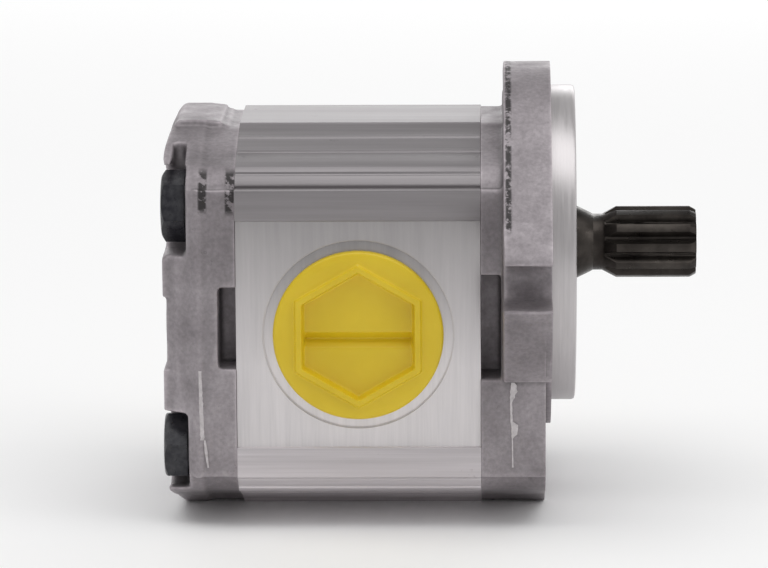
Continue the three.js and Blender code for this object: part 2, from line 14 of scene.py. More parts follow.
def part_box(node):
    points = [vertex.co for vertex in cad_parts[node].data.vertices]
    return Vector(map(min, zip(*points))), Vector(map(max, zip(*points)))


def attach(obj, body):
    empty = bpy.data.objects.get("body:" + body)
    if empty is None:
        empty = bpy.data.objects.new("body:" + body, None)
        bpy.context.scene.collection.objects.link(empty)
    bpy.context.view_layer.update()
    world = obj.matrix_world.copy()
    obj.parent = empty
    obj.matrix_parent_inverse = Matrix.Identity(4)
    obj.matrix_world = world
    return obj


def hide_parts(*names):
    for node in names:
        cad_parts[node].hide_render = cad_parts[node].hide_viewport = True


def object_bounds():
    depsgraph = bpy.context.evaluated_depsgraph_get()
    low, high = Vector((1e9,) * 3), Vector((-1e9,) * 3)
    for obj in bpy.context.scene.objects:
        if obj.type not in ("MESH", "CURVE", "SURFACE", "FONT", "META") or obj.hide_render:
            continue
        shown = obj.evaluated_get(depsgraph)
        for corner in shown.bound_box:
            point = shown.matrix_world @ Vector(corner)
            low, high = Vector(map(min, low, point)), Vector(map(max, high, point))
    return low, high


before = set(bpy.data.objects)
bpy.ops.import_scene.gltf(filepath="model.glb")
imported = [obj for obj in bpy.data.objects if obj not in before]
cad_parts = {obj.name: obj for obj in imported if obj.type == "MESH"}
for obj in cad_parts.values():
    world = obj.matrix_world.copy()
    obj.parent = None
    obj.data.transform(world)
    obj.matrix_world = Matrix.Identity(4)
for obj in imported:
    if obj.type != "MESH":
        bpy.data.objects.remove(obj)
cad_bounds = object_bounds()
MM = 0.001


def cad_box(node):
    """Lowest and highest corners of a CAD node, in millimetres."""
    low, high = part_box(node)
    return [v / MM for v in low], [v / MM for v in high]


# ---------------------------------------------------------------- places, from the frame

BODY_LOW, BODY_HIGH = cad_box("pump_body")
REAR_LOW, REAR_HIGH = cad_box("rear_cover")
FRONT_HIGH = cad_box("front_cover")[1]
SHAFT_HIGH = cad_box("drive_gear")[1]
BOLT_BOXES = [cad_box(f"cover_bolt_{i}") for i in (1, 2, 3, 4)]
INLET_LOW, INLET_HIGH = cad_box("inlet_plug")
OUTLET_HIGH = cad_box("outlet_plug")[1]


CENTRE_DISTANCE = 31.0
MID_Z = -CENTRE_DISTANCE / 2
JOINT_FRONT_X = BODY_HIGH[0] + 0.15
JOINT_REAR_X = BODY_LOW[0] - 0.15
HAIRLINE = 0.02  # left between the stacked castings
SIDE_Y = 45.0
RAW_SIDE_Y = BODY_HIGH[1]
BODY_TOP = BODY_HIGH[2] - MID_Z
BODY_BOTTOM = MID_Z - BODY_LOW[2]
TOP_HALF_WIDTH = 15.1
PORT_FACE_HALF = 29.2
RAW_BAND_HALF = 37.4
CORNER_RADIUS = 12.6
BOLT_Y = 33.0
BOLT_RISE = 31.2
BOLT_SEAT_X = -92.8
HEAD_TOP_X = BOLT_BOXES[0][0][0]
HEAD_FLATS = 16.0
REAR_X = REAR_LOW[0]
FLANGE_REAR_X = -12.7
FLANGE_RADIUS = FRONT_HIGH[2]
LOWER_FACE_X = -1.6
EAR_BOLT_Y = 53.2
EAR_RADIUS = 13.0
SLOT_HALF = 5.6
PILOT_RADIUS = 41.275
PILOT_FRONT_X = FRONT_HIGH[0]
SEAL_BORE_RADIUS = 17.5
SHAFT_END_X = SHAFT_HIGH[0]
JOURNAL_RADIUS = 9.75
SPLINE_TEETH = 11
SPLINE_RADIUS = 9.34
SPLINE_ROOT = 7.65
NECK_RADIUS = 7.35
PORT_X = (INLET_LOW[0] + INLET_HIGH[0]) / 2
CHAMBER_RADIUS = 18.25
BOLT_RADIUS = 4.85
BOLT_HOLE_RADIUS = 5.3
BOLT_END_X = -5.0
BOLT_SEAT_RADIUS = 9.6
HEAD_POCKET_RADIUS = 11.3
SHAFT_HOLE_RADIUS = 10.4
SEAL_BORE_END_X = -15.0
RING_GROOVE_RADIUS = 18.6
RING_GROOVE = (1.1, 3.0)
FAR = 60.0  # past the stack's sides


def bolt_axis(index):
    """(y, z) of a cover bolt's axis, told apart by the four boxes' sides."""
    low, high = BOLT_BOXES[index]
    rise = math.copysign(BOLT_RISE, low[2] + high[2] - 2 * MID_Z)
    return math.copysign(BOLT_Y, low[1] + high[1]), MID_Z + rise


# ---------------------------------------------------------------- mesh tools

def new_object(name, mesh):
    obj = bpy.data.objects.new(name, mesh)
    bpy.context.scene.collection.objects.link(obj)
    return obj


def from_bmesh(name, bm):
    """The bmesh, in millimetres, as an object in metres with its faces pointing out."""
    bmesh.ops.recalc_face_normals(bm, faces=bm.faces)
    bmesh.ops.transform(bm, matrix=Matrix.Scale(MM, 4), verts=bm.verts)
    mesh = bpy.data.meshes.new(name)
    bm.to_mesh(mesh)
    bm.free()
    return new_object(name, mesh)


def prism(name, outline, start, end, axis="X"):
    """A flat outline pushed from start to end along an axis: (y, z), (x, z) or (x, y) corners."""
    place = {
        "X": lambda a, b: (start, a, b),
        "Y": lambda a, b: (a, start, b),
        "Z": lambda a, b: (a, b, start),
    }[axis]
    bm = bmesh.new()
    face = bm.faces.new([bm.verts.new(place(a, b)) for a, b in outline])
    pushed = bmesh.ops.extrude_face_region(bm, geom=[face])
    moved = [v for v in pushed["geom"] if isinstance(v, bmesh.types.BMVert)]
    bmesh.ops.translate(bm, vec=[end - start if axis == k else 0 for k in "XYZ"], verts=moved)
    return from_bmesh(name, bm)


def lathe(name, profile, centre=(0.0, 0.0), axis="X", sides=128):
    """A solid of revolution; profile is (radius, place along the axis), axis to axis or a loop."""
    bm = bmesh.new()
    rings = []
    for radius, along in profile:
        count = 1 if radius == 0 else sides
        ring = []
        for i in range(count):
            turn = 2 * math.pi * i / sides
            across = (radius * math.cos(turn), radius * math.sin(turn))
            if axis == "X":
                place = (along, centre[0] + across[0], centre[1] + across[1])
            else:
                place = (centre[0] + across[0], along, centre[1] + across[1])
            ring.append(bm.verts.new(place))
        rings.append(ring)
    closed = profile[0][0] != 0
    pairs = list(zip(rings, rings[1:])) + ([(rings[-1], rings[0])] if closed else [])
    for first, second in pairs:
        for i in range(sides):
            j = (i + 1) % sides
            around = [(first, i), (first, j), (second, j), (second, i)]
            bm.faces.new(list(dict.fromkeys(ring[k % len(ring)] for ring, k in around)))
    return from_bmesh(name, bm)


def block(name, low, high):
    bm = bmesh.new()
    bmesh.ops.create_cube(bm, size=1.0)
    for v in bm.verts:
        v.co = Vector([low[k] + (v.co[k] + 0.5) * (high[k] - low[k]) for k in range(3)])
    return from_bmesh(name, bm)


def rod(name, radius, x0, x1, y, z, sides=64):
    return lathe(name, [(0, x0), (radius, x0), (radius, x1), (0, x1)], (y, z), "X", sides)


def apply_modifiers(obj):
    """Bake the modifier stack into a new mesh."""
    depsgraph = bpy.context.evaluated_depsgraph_get()
    mesh = bpy.data.meshes.new_from_object(obj.evaluated_get(depsgraph))
    obj.modifiers.clear()
    old = obj.data
    obj.data = mesh
    bpy.data.meshes.remove(old)
    return obj


def combine(obj, tools, operation):
    """Cut, join or intersect obj with each tool in turn; the tools are used up."""
    for tool in tools:
        mod = obj.modifiers.new("combine", "BOOLEAN")
        mod.operation = operation
        mod.solver = "MANIFOLD"
        mod.object = tool
        apply_modifiers(obj)
        bpy.data.objects.remove(tool)
    return obj


def cut(obj, *tools):
    return combine(obj, tools, "DIFFERENCE")


def join(obj, *tools):
    return combine(obj, tools, "UNION")


def keep_inside(obj, tool):
    return combine(obj, [tool], "INTERSECT")


def soften(obj, voxel, passes, strength=0.5):
    """Cast or moulded look: remesh to small cells and round every edge a little."""
    remesh = obj.modifiers.new("remesh", "REMESH")
    remesh.mode = "VOXEL"
    remesh.voxel_size = voxel * MM
    smooth = obj.modifiers.new("smooth", "SMOOTH")
    smooth.factor = strength
    smooth.iterations = passes
    return apply_modifiers(obj)


def ripple(obj, depth, scale, seed):
    """Slight unevenness of a cast skin, the same on every run."""
    offset = Vector((seed * 7.3, seed * 3.1, seed * 5.7))
    mesh = obj.data
    normals = [v.normal.copy() for v in mesh.vertices]
    for v, normal in zip(mesh.vertices, normals):
        v.co += normal * (depth * MM * noise.noise(v.co / (scale * MM) + offset))
    return obj


def bevel(obj, width, segments=2, degrees=35):
    mod = obj.modifiers.new("bevel", "BEVEL")
    mod.width = width * MM
    mod.segments = segments
    mod.limit_method = "ANGLE"
    mod.angle_limit = math.radians(degrees)
    mod.harden_normals = False
    return apply_modifiers(obj)


def arc(y, z, radius, start, end, steps):
    turns = [math.radians(start + (end - start) * i / steps) for i in range(steps + 1)]
    return [(y + radius * math.cos(t), z + radius * math.sin(t)) for t in turns]


def mirrored(half):
    return half + [(-y, z) for y, z in reversed(half)]


def finish(obj, body, nodes, materials, paint=None, smooth_angle=30):
    """Name the materials, shade, and hand the piece to the frame."""
    mesh = obj.data
    mesh.materials.clear()
    for mat in materials:
        mesh.materials.append(mat)
    for poly in mesh.polygons:
        poly.use_smooth = True
        poly.material_index = paint(poly.center / MM, poly.normal) if paint else 0
    mesh.set_sharp_from_angle(angle=math.radians(smooth_angle))
    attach(obj, body)
    if nodes:
        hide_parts(*nodes)
    return obj


# ---------------------------------------------------------------- materials

class Shader:
    """A Principled material with a few shorthands for its nodes."""

    def __init__(self, name, roughness, metallic, specular=0.5):
        self.material = bpy.data.materials.new(name)
        self.material.use_nodes = True
        self.tree = self.material.node_tree
        self.principled = self.tree.nodes["Principled BSDF"]
        self.principled.inputs["Roughness"].default_value = roughness
        self.principled.inputs["Metallic"].default_value = metallic
        self.principled.inputs["Specular IOR Level"].default_value = specular
        self.coords = self.tree.nodes.new("ShaderNodeTexCoord")
        self.height = None

    def link(self, source, target):
        self.tree.links.new(source, target)

    def noise(self, scale, stretch=(1, 1, 1), detail=4.0, roughness=0.6):
        """Noise over the object's own coordinates; scale is in features a metre."""
        mapping = self.tree.nodes.new("ShaderNodeMapping")
        mapping.inputs["Scale"].default_value = stretch
        texture = self.tree.nodes.new("ShaderNodeTexNoise")
        texture.inputs["Scale"].default_value = scale
        texture.inputs["Detail"].default_value = detail
        texture.inputs["Roughness"].default_value = roughness
        self.link(self.coords.outputs["Object"], mapping.inputs["Vector"])
        self.link(mapping.outputs["Vector"], texture.inputs["Vector"])
        return texture.outputs["Fac"]

    def ramp(self, value, stops):
        """Colour ramp: stops are (place, (r, g, b))."""
        node = self.tree.nodes.new("ShaderNodeValToRGB")
        ramp = node.color_ramp
        while len(ramp.elements) < len(stops):
            ramp.elements.new(0.5)
        for element, (place, colour) in zip(ramp.elements, stops):
            element.position = place
            element.color = (*colour, 1)
        self.link(value, node.inputs["Fac"])
        return node.outputs["Color"]

    def spread(self, value, low, high, start=0.3, end=0.7):
        """A number from low to high as value goes from start to end."""
        node = self.tree.nodes.new("ShaderNodeMapRange")
        node.inputs["From Min"].default_value = start
        node.inputs["From Max"].default_value = end
        node.inputs["To Min"].default_value = low
        node.inputs["To Max"].default_value = high
        self.link(value, node.inputs["Value"])
        return node.outputs["Result"]

    def mix(self, factor, first, second, blend="MIX"):
        node = self.tree.nodes.new("ShaderNodeMix")
        node.data_type = "RGBA"
        node.blend_type = blend
        for socket, value in (("Factor", factor), ("A", first), ("B", second)):
            fits = "VALUE" if socket == "Factor" else "RGBA"
            target = [i for i in node.inputs if i.name == socket and i.type == fits][0]
            if isinstance(value, bpy.types.NodeSocket):
                self.link(value, target)
            elif socket == "Factor":
                target.default_value = value
            else:
                target.default_value = (*value, 1)
        return [o for o in node.outputs if o.type == "RGBA"][0]

    def colour(self, output):
        self.link(output, self.principled.inputs["Base Color"])

    def roughness(self, output):
        self.link(output, self.principled.inputs["Roughness"])

    def bump(self, height, distance, strength=1.0):
        """Add one layer of relief, distance in millimetres."""
        node = self.tree.nodes.new("ShaderNodeBump")
        node.inputs["Distance"].default_value = distance * MM
        node.inputs["Strength"].default_value = strength
        self.link(height, node.inputs["Height"])
        if self.height is not None:
            self.link(self.height, node.inputs["Normal"])
        self.height = node.outputs["Normal"]
        self.link(self.height, self.principled.inputs["Normal"])

    def coordinate(self, axis):
        parts = self.tree.nodes.new("ShaderNodeSeparateXYZ")
        self.link(self.coords.outputs["Object"], parts.inputs["Vector"])
        return parts.outputs[axis]

    def within(self, axis, low, high, fade):
        """1 between low and high along an axis, falling to 0 over fade; all in millimetres."""
        along = self.coordinate(axis)
        rising = self.spread(along, 0, 1, (low - fade) * MM, low * MM)
        falling = self.spread(along, 1, 0, high * MM, (high + fade) * MM)
        return self.times(rising, falling)

    def times(self, first, second):
        node = self.tree.nodes.new("ShaderNodeMath")
        node.operation = "MULTIPLY"
        self.link(first, node.inputs[0])
        self.link(second, node.inputs[1])
        return node.outputs[0]

    def painted_floor_reflection(self, colour, top, bottom, high_z, low_z):
        """Painted reflection: scale a colour by bottom at low_z, going to top at high_z, as if lit
        from a pale floor below.
        """
        height = self.spread(self.coordinate("Z"), 0, 1, low_z * MM, high_z * MM)
        shade = self.ramp(height, [(0, (bottom,) * 3), (1, (top,) * 3)])
        return self.mix(1.0, colour, shade, "MULTIPLY")

    def wear_highlight_and_corner_shade(self, low, high):
        """Lighter edges (wear, and a painted highlight) and darker corners (painted shade), from the
        surface's own curvature.
        """
        geometry = self.tree.nodes.new("ShaderNodeNewGeometry")
        return self.ramp(geometry.outputs["Pointiness"], [(0.46, low), (0.54, high)])


SOOT_PATCHES = [  # low and high corners along X and Z
    ((-89.2, 17.0), (-87.6, 25.0)), ((-82.4, 16.5), (-80.5, 25.0)), ((-11.5, 14.0), (-10.5, 47.0)),
]


def cast_aluminium():
    """Bare die-cast skin: mottled grey, a fine grain, soot in places, polished edges and painted
    shade in corners.
    """
    s = Shader("cast_aluminium", 0.5, 0.55)
    blotch = s.ramp(s.noise(38, detail=7), [
        (0.30, (0.200, 0.182, 0.190)), (0.50, (0.300, 0.276, 0.287)), (0.70, (0.410, 0.378, 0.394)),
    ])
    grain = s.ramp(s.noise(900, detail=3), [(0.3, (0.84, 0.84, 0.84)), (0.7, (1.10, 1.10, 1.10))])
    specks = s.ramp(s.noise(130, detail=8, roughness=0.7), [
        (0.28, (0.40, 0.38, 0.39)), (0.35, (1, 1, 1)),
    ])
    base = s.mix(1.0, blotch, grain, "MULTIPLY")
    base = s.mix(0.8, base, specks, "MULTIPLY")
    # curvature ramp: lighter polished edges, and painted shade darkening the concave corners
    base = s.mix(0.7, base, s.wear_highlight_and_corner_shade((0.5, 0.5, 0.5), (1.6, 1.57, 1.6)), "MULTIPLY")
    ragged = s.spread(s.noise(420, detail=6, roughness=0.7), 0, 0.95, 0.43, 0.50)
    for (low_x, low_z), (high_x, high_z) in SOOT_PATCHES:
        region = s.times(s.within("X", low_x, high_x, 0.5), s.within("Z", low_z, high_z, 1.5))
        base = s.mix(s.times(region, ragged), base, (0.03, 0.027, 0.027))
    s.colour(base)
    s.roughness(s.spread(s.noise(160), 0.42, 0.62))
    s.bump(s.noise(1500, detail=5), 0.05)
    s.bump(s.noise(220, detail=4), 0.14)
    return s.material


def extruded_aluminium():
    """Raw extrusion: long streaks and die lines along X, and a painted floor reflection brightening
    it towards the bottom.
    """
    s = Shader("extruded_aluminium", 0.4, 0.65)
    streaks = s.noise(1.0, (12, 900, 900), detail=5, roughness=0.7)
    broad = s.noise(1.0, (6, 160, 160), detail=3)
    base = s.mix(0.5, s.ramp(streaks, [(0.3, (0.22, 0.205, 0.21)), (0.7, (0.33, 0.31, 0.32))]),
                 s.ramp(broad, [(0.3, (0.20, 0.187, 0.192)), (0.7, (0.35, 0.33, 0.34))]))
    dirt = s.ramp(s.noise(170, detail=8, roughness=0.7), [
        (0.27, (0.6, 0.58, 0.58)), (0.34, (1, 1, 1)),
    ])
    # painted reflection: the raw band is multiplied from 0.95 at z -5 up to 2.3 at z -42, as if lit
    # by the pale floor
    s.colour(s.painted_floor_reflection(s.mix(0.7, base, dirt, "MULTIPLY"), 0.95, 2.3, -5, -42))
    s.roughness(s.spread(streaks, 0.36, 0.52))
    s.bump(streaks, 0.03)
    s.bump(s.noise(1400, detail=3), 0.01)
    return s.material


def machined_aluminium(name, stretch, tone=1.0, painted_floor_reflection=None):
    """Milled or turned face: bright, with fine tool lines; optionally a painted reflection shades it
    by height.
    """
    s = Shader(name, 0.3, 0.8)
    lines = s.noise(1.0, stretch, detail=3, roughness=0.7)
    low, high = 0.50 * tone, 0.62 * tone
    tint = (1.0, 0.955, 0.965)
    base = s.ramp(lines, [(0.25, [low * t for t in tint]), (0.75, [high * t for t in tint])])
    s.colour(s.painted_floor_reflection(base, *painted_floor_reflection) if painted_floor_reflection else base)
    s.roughness(s.spread(lines, 0.28, 0.42))
    s.bump(lines, 0.01)
    return s.material


def flash_aluminium():
    """Torn, bright parting-line flash."""
    s = Shader("flash_aluminium", 0.45, 0.5)
    s.colour(s.ramp(s.noise(700, detail=5), [(0.3, (0.46, 0.43, 0.44)), (0.7, (0.66, 0.62, 0.63))]))
    s.bump(s.noise(900, detail=5), 0.08)
    return s.material


def shaft_steel():
    """Case-hardened steel with a dark oil film and brown tint."""
    s = Shader("shaft_steel", 0.3, 0.85)
    tint = s.ramp(s.noise(150, detail=5), [
        (0.3, (0.014, 0.012, 0.011)), (0.7, (0.040, 0.036, 0.033)),
    ])
    # curvature ramp: lighter edges, part wear and part painted highlight, and painted shade in the
    # corners
    s.colour(s.mix(0.5, tint, s.wear_highlight_and_corner_shade((0.5, 0.5, 0.5), (2.2, 2.1, 2.0)), "MULTIPLY"))
    s.roughness(s.spread(s.noise(400), 0.24, 0.42))
    s.bump(s.noise(1.0, (3000, 200, 200), detail=3), 0.01)
    return s.material


def black_steel():
    """Black bolt finish, lighter at the edges (partly scuffs, partly a painted highlight) with
    painted shade in corners.
    """
    s = Shader("black_steel", 0.42, 0.25)
    base = s.ramp(s.noise(500, detail=6), [
        (0.35, (0.002, 0.002, 0.003)), (0.7, (0.009, 0.009, 0.010)),
    ])
    # curvature ramp: edges lifted up to seven times as scuffs and painted highlight, concave corners
    # given painted shade
    s.colour(s.mix(0.8, base, s.wear_highlight_and_corner_shade((0.7, 0.7, 0.7), (7.0, 7.0, 7.0)), "MULTIPLY"))
    s.roughness(s.spread(s.noise(800), 0.24, 0.42))
    s.bump(s.noise(1800, detail=4), 0.02)
    return s.material


def yellow_plastic():
    """Moulded soft plastic, satin, a little translucent."""
    s = Shader("yellow_plastic", 0.38, 0.0, 0.5)
    s.colour(s.ramp(s.noise(60, detail=3), [
        (0.3, (0.70, 0.50, 0.010)), (0.7, (0.78, 0.57, 0.020)),
    ]))
    s.principled.inputs["Subsurface Weight"].default_value = 0.15
    s.principled.inputs["Subsurface Radius"].default_value = (0.004, 0.0025, 0.0004)
    s.roughness(s.spread(s.noise(300), 0.34, 0.46))
    s.bump(s.noise(260, detail=3), 0.02)
    return s.material


def plain(name, low, high, roughness, metallic, scale=400, relief=0.02):
    """The inner pieces' finish: two close tones, a rough map and a fine relief."""
    s = Shader(name, roughness, metallic)
    s.colour(s.ramp(s.noise(scale, detail=5), [(0.3, low), (0.7, high)]))
    s.roughness(s.spread(s.noise(scale * 1.7), roughness * 0.85, roughness * 1.2))
    s.bump(s.noise(scale * 3, detail=4), relief)
    return s.material


CAST = cast_aluminium()
EXTRUDED = extruded_aluminium()
# the milled face carries a painted reflection: 0.45 of its tone at the top, full tone at the bottom
MILLED = machined_aluminium("milled_face", (500, 500, 24), 1.25, (0.45, 1.0, 16, -24))
TURNED = machined_aluminium("turned_face", (1400, 60, 60), 0.95)
FLASH = flash_aluminium()
SHAFT = shaft_steel()
BLACK = black_steel()
YELLOW = yellow_plastic()
RUBBER = plain("black_rubber", (0.010, 0.010, 0.010), (0.022, 0.022, 0.022), 0.6, 0.0)
BRONZE = plain("bearing_bronze", (0.42, 0.26, 0.10), (0.55, 0.36, 0.15), 0.35, 1.0)
STEEL = plain("bright_steel", (0.42, 0.42, 0.43), (0.55, 0.55, 0.57), 0.28, 1.0)
PTFE = plain("white_plastic", (0.70, 0.68, 0.60), (0.80, 0.78, 0.70), 0.5, 0.0)


# ---------------------------------------------------------------- camera, light and floor

CAMERA_TARGET = Vector((-43.6, 0.0, -11.2)) * MM
CAMERA_DISTANCE = 1229.0 * MM
CAMERA_ELEVATION = math.radians(11.0)
CAMERA_AZIMUTH = math.radians(1.35)
CAMERA_ROLL = math.radians(-0.38)
LENS = 219.0
FLOOR_SIZE = 6.0


def make_camera():
    data = bpy.data.cameras.new("camera")
    data.lens = LENS
    data.sensor_width = 36.0
    data.clip_start = 0.05
    data.clip_end = 20.0
    camera = new_object("camera", data)
    away = Vector((
        math.sin(CAMERA_AZIMUTH) * math.cos(CAMERA_ELEVATION),
        -math.cos(CAMERA_AZIMUTH) * math.cos(CAMERA_ELEVATION),
        math.sin(CAMERA_ELEVATION),
    ))
    camera.location = CAMERA_TARGET + away * CAMERA_DISTANCE
    turn = away.to_track_quat("Z", "Y") @ Matrix.Rotation(CAMERA_ROLL, 3, "Z").to_quaternion()
    camera.rotation_euler = turn.to_euler()
    bpy.context.scene.camera = camera


def make_light(name, place, target, size, power):
    data = bpy.data.lights.new(name, "AREA")
    data.shape = "RECTANGLE"
    data.size, data.size_y = size
    data.energy = power
    light = new_object(name, data)
    light.location = place
    light.rotation_euler = (Vector(place) - Vector(target)).to_track_quat("Z", "Y").to_euler()


def make_stage():
    bm = bmesh.new()
    bmesh.ops.create_grid(bm, x_segments=1, y_segments=1, size=FLOOR_SIZE / 2 / MM)
    floor = from_bmesh("floor", bm)
    floor.location.z = cad_bounds[0][2]
    mat = bpy.data.materials.new("floor")
    mat.use_nodes = True
    inputs = mat.node_tree.nodes["Principled BSDF"].inputs
    inputs["Base Color"].default_value = (0.95, 0.95, 0.95, 1)
    inputs["Roughness"].default_value = 0.9
    floor.data.materials.append(mat)
    world = bpy.data.worlds.new("studio")
    world.use_nodes = True
    world.node_tree.nodes["Background"].inputs["Color"].default_value = (1, 1, 1, 1)
    world.node_tree.nodes["Background"].inputs["Strength"].default_value = 0.5
    bpy.context.scene.world = world
    middle = (-0.03, 0, 0)
    make_light("top", (-0.1, -0.25, 1.3), (-0.05, 0.0, 0), (2.2, 1.0), 11)
    make_light("back", (0.1, 1.6, 0.55), middle, (2.4, 0.5), 9)
    make_light("right", (1.2, -0.5, 0.5), middle, (0.5, 0.7), 2)


make_camera()
make_stage()
bpy.context.scene.view_settings.view_transform = "Standard"


# ---------------------------------------------------------------- outline of the stack

GROOVE = 0.35


def stack_half(inset, fine):
    """Right half of the section, top to bottom; fine adds the extrusion's steps and die lines."""
    def shoulder(sign, reach):
        points = [
            (TOP_HALF_WIDTH - 0.5, reach - inset), (TOP_HALF_WIDTH + 0.2, reach - inset - 0.5),
            (22.7, 47.3 - inset),
        ]
        if fine:
            points += [
                (23.1, 46.7), (23.6, 46.9), (30.0, 44.9), (30.3, 44.3), (30.9, 44.3), (35.5, 43.0),
            ]
        return [(y, MID_Z + sign * z) for y, z in points]

    def corner(sign):
        centre = BOLT_Y - 0.3
        radius = CORNER_RADIUS - inset
        points = arc(centre, 0, radius, 64, 28, 10)
        if fine:
            points = arc(centre, 0, radius, 62, 52, 4) + arc(centre, 0, radius - GROOVE, 50, 48, 1)
            points += arc(centre, 0, radius, 46, 33, 5) + arc(centre, 0, radius - 0.6, 31, 28, 2)
        return [(y, MID_Z + sign * (BOLT_RISE + z)) for y, z in points]

    def band(sign):
        side = RAW_SIDE_Y - inset
        points = [
            (side - 0.8, RAW_BAND_HALF + 0.1), (side - 0.2, RAW_BAND_HALF - 0.3),
            (side, RAW_BAND_HALF - 1.0),
        ]
        if fine:
            points += [
                (side, PORT_FACE_HALF + 0.7), (side - 0.2, PORT_FACE_HALF + 0.1),
                (SIDE_Y, PORT_FACE_HALF),
            ]
        return [(y, MID_Z + sign * z) for y, z in points]

    upper = shoulder(1, BODY_TOP) + corner(1) + band(1)
    lower = shoulder(-1, BODY_BOTTOM) + corner(-1) + band(-1)
    return upper + lower[::-1]


def stack_outline(inset, fine=False):
    return mirrored(stack_half(inset, fine))


# ---------------------------------------------------------------- body

PORTS = {
    "inlet": {"side": -1, "spot": 24.4, "thread": 15.9, "passage": 11.0},
    "outlet": {"side": 1, "spot": 20.5, "thread": 12.7, "passage": 9.0},
}
SPOT_DEPTH = 0.4
PORT_DEPTH = 19.0
THREAD_PITCH = 25.4 / 12


def port_cutter(port):
    """Scored spot face, seal seat, threaded bore and the passage to the gears."""
    face = SIDE_Y - SPOT_DEPTH
    seat = port["thread"] + 2.7
    profile = [(0, 4.0), (port["passage"], 4.0), (port["passage"], face - PORT_DEPTH)]
    along = face - PORT_DEPTH
    while along < face - 3.2:
        profile += [(port["thread"], along), (port["thread"] - 0.9, along + THREAD_PITCH / 2)]
        along += THREAD_PITCH
    spot = port["spot"]
    profile += [
        (port["thread"], face - 2.2), (seat, face - 2.2), (seat, face), (spot - 0.5, face),
        (spot - 0.3, face - 0.08), (spot, face), (spot + 0.1, SIDE_Y + 2), (0, SIDE_Y + 2),
    ]
    placed = [(radius, port["side"] * along) for radius, along in profile]
    return lathe("port_cutter", placed, (PORT_X, MID_Z), "Y")


def make_body():
    ends = (JOINT_REAR_X + HAIRLINE, JOINT_FRONT_X - HAIRLINE)
    body = prism("pump_body_extrusion", stack_outline(0, True), *ends)
    cut(body, *[rod("chamber", CHAMBER_RADIUS, BODY_LOW[0] - 2, BODY_HIGH[0] + 2, 0, z, 96)
                for z in (0, -CENTRE_DISTANCE)])
    bevel(body, 0.18, 2, 50)
    cut(body, *[port_cutter(port) for port in PORTS.values()])

    def paint(centre, normal):
        height = abs(centre.z - MID_Z)
        bored = math.hypot(centre.y, height) < 30 and abs(normal.y) < 0.5
        if bored or abs(normal.x) > 0.9:
            return 2
        return 1 if abs(centre.y) > SIDE_Y - 25 and height < PORT_FACE_HALF + 0.05 else 0

    finish(body, "housing", ["pump_body"], [EXTRUDED, MILLED, TURNED], paint)


make_body()

# ---------------------------------------------------------------- rear cover

PLATE_REAR_X = -92.6
VOXEL = 0.5


def head_pocket(y, z):
    """Seat for a bolt head, open to the rear and to the nearest side; the lower ones fit closer."""
    side = math.copysign(1, y)
    upper = z > MID_Z
    radius, below = (HEAD_POCKET_RADIUS, HEAD_POCKET_RADIUS) if upper else (10.3, 9.7)
    pocket = rod("pocket", radius, REAR_X - 3, BOLT_SEAT_X + 0.05, y, z)
    low = (REAR_X - 3, min(y, side * FAR), z - below)
    high = (BOLT_SEAT_X + 0.05, max(y, side * FAR), z + radius)
    return join(pocket, block("pocket_side", low, high))


def arch_pocket(side):
    """The arched hollow in the cover's side above each upper bolt head."""
    z = MID_Z + BOLT_RISE
    low, high = sorted((side * 25.5, side * FAR))
    hollow = block("arch", (-96.6, low, z), (-93.4, high, z + 14.6))
    top = [(0, low), (1.6, low), (1.6, high), (0, high)]
    return join(hollow, lathe("arch_top", top, (-95.0, z + 14.6), "Y", 32))


def side_pocket(x0, x1, low_z, high_z, side, floor):
    low, high = sorted((side * floor, side * FAR))
    return block("side_pocket", (x0, low, low_z), (x1, high, high_z))


SIDE_VIEW = [  # the cover's rear corners, as (x, drop below the top)
    (-95.2, -0.5), (-96.4, 0.1), (-97.4, 1.2), (-98.3, 2.8), (-98.8, 4.6), (-99.0, 7.0),
]
PLAN_VIEW = [  # and its side edges, as (x, y)
    (-88.8, 45.8), (-90.4, 45.4), (-91.8, 44.5), (-93.2, 43.5), (-95.4, 42.6), (-98.5, 40.2),
]


def rear_envelopes():
    """Rounded corners of the cover, in side view and in plan."""
    top, bottom = REAR_HIGH[2] + 1.0, REAR_LOW[2] - 0.1
    upper = [(-60, top + 3), (-95.2, top + 3)] + [(x, top - drop) for x, drop in SIDE_VIEW]
    lower = [(x + 0.5, bottom + 1.6 * drop) for x, drop in reversed(SIDE_VIEW)]
    side = upper + lower + [(-94.7, bottom - 3), (-60, bottom - 3)]
    plan = [(-60, 48), (-88.8, 48)] + PLAN_VIEW + [(REAR_X - 0.2, 30), (REAR_X - 0.2, -30)]
    plan += [(x, -y) for x, y in reversed(PLAN_VIEW)] + [(-88.8, -48), (-60, -48)]
    return prism("side_view", side, -70, 70, "Y"), prism("plan", plan, -90, 60, "Z")


